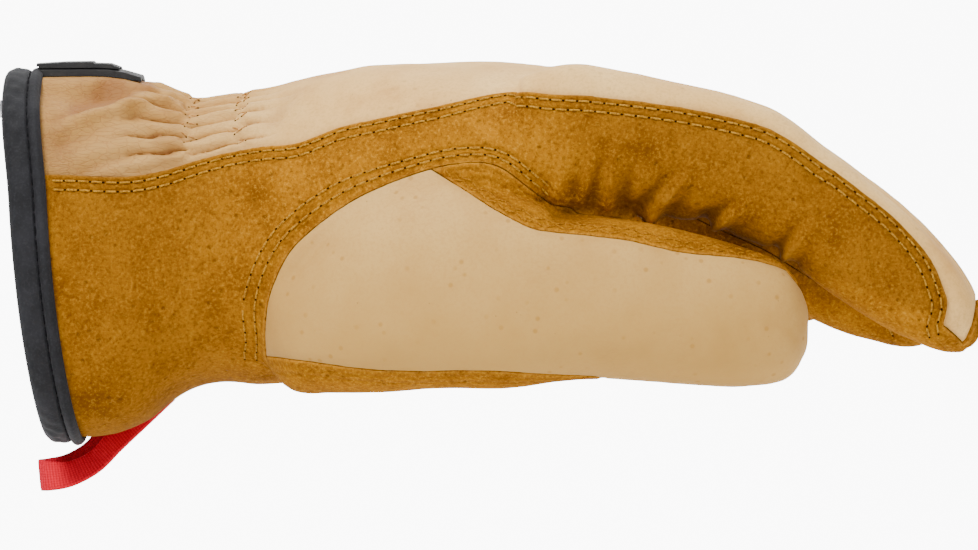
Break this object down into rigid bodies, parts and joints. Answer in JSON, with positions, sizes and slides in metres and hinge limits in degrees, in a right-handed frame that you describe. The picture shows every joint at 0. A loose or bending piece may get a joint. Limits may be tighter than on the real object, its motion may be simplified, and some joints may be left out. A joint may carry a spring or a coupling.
{
  "type": "cut-resistant leather glove",
  "caption": "Left-hand leather work glove with a pale back, tan lapped palm and fingers, gathered wrist, black bound cuff with a tab, and a red webbing loop.",
  "frame": {"origin": "middle of the wrist opening, where the wrist passes in", "axes": "+X from the wrist to the fingertips, +Z out of the back of the hand, -Y the thumb side"},
  "size_m": [0.2406, 0.1066, 0.1059],
  "materials": {
    "pale_leather": "matte",
    "tan_leather": "matte",
    "black_binding": "matte",
    "black_rubber": "satin",
    "red_webbing": "matte",
    "white_label": "matte"
  },
  "bodies": {
    "root": {"back_cuff": "pale_leather", "back_panel": "pale_leather", "finger_back_1": "pale_leather", "finger_back_2": "pale_leather", "finger_back_3": "pale_leather", "finger_back_4": "pale_leather", "palm_cuff": "tan_leather", "palm_panel": "tan_leather", "finger_front_1": "tan_leather", "finger_front_2": "tan_leather", "finger_front_3": "tan_leather", "finger_front_4": "tan_leather", "fourchette_1": "tan_leather", "fourchette_2": "tan_leather", "fourchette_3": "tan_leather", "thumb_back": "pale_leather", "thumb_front": "tan_leather", "cuff_binding": "black_binding", "wrist_tab": "black_rubber", "tab_plate": "black_rubber", "pull_loop": "red_webbing", "inner_label": "white_label"}
  },
  "joints": []
}
